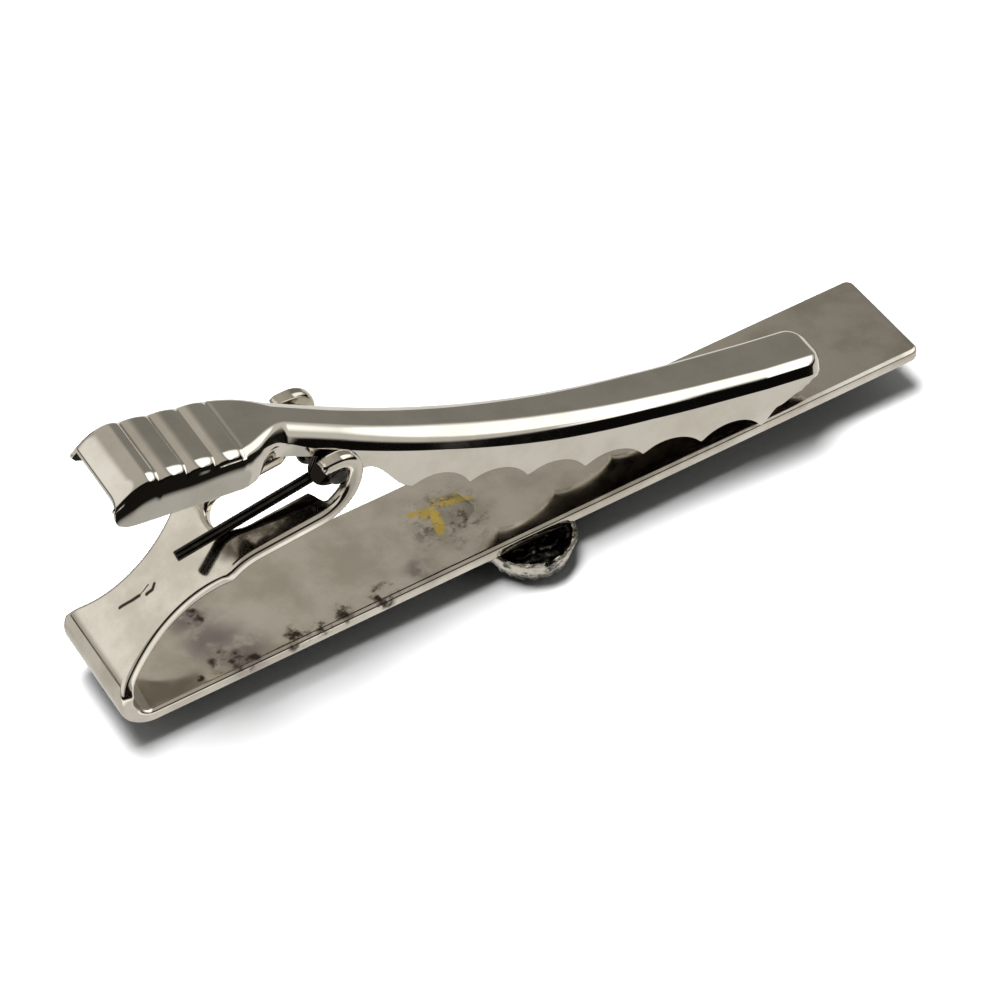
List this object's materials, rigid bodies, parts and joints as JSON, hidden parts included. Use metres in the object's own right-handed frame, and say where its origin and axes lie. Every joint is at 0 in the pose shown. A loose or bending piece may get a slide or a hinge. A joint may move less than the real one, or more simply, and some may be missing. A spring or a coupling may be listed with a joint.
{
  "type": "tie clip",
  "caption": "Sprung tie clip: a folded plated bar with a forked tongue, a toothed clamp lever that opens on a pin against a torsion spring, and a riveted ornament on the bar's front.",
  "frame": {"origin": "under the middle of the bar, in the plane of the ornament's flat front, which is the lowest face", "axes": "+X along the bar from its fold to its free end, +Y across the bar, +Z from the ornament up through the bar to the lever"},
  "size_m": [0.06, 0.0126, 0.0218],
  "materials": {
    "bar_plating": "bright nickel plate, worn and spotted on the back",
    "lever_plating": "bright nickel plate",
    "pin_steel": "plain plated pin",
    "spring_steel": "dark drawn spring wire",
    "ornament_metal": "blackened cast metal with worn bright edges",
    "rivet_brass": "flattened bare brass"
  },
  "bodies": {
    "bar": {"front_bar": "bar_plating", "hinge_pin": "pin_steel", "torsion_spring": "spring_steel", "ornament": "ornament_metal", "ornament_rivet": "rivet_brass"},
    "lever": {"clamp_lever": "lever_plating"}
  },
  "joints": [
    {"name": "lever_pivot", "type": "hinge", "parent": "bar", "child": "lever", "pos_m": [-0.01374, -0.0006, 0.0152], "axis": [-0.0436, -0.999, 0], "range_deg": [0, 30], "stiffness_Nm_per_rad": 0.1, "springref_deg": -11.46, "deforming": ["torsion_spring"]}
  ]
}
